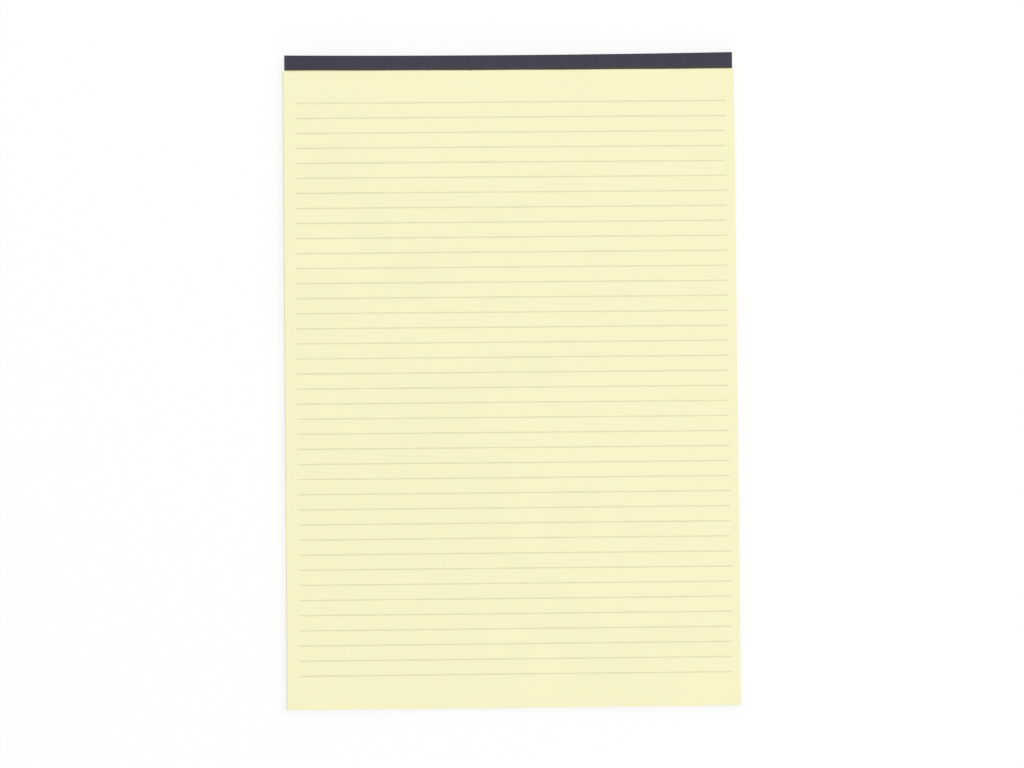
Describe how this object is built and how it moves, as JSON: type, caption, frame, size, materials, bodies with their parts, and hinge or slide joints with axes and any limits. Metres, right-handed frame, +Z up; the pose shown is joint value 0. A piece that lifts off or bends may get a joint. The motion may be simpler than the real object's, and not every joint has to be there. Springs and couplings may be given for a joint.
{
  "type": "lined notebook",
  "caption": "A4 ruled writing pad of pale yellow tear-off sheets on a greyboard back, wire-stitched along the head under a narrow strip of dark binding tape.",
  "frame": {"origin": "under the middle of the whole pad, on the back of the board that it rests on", "axes": "+X across the pad to the reader's right, +Y up the page toward the bound head, +Z up out of the writing face"},
  "size_m": [0.21, 0.3044, 0.0051],
  "materials": {
    "sheets": "matte",
    "ruling": "matte",
    "board": "matte",
    "tape": "matte",
    "wire": "satin"
  },
  "bodies": {
    "root": {"page_block": "sheets", "backing_board": "board", "binding_tape": "tape", "left_stitch": "wire", "right_stitch": "wire"}
  },
  "joints": []
}
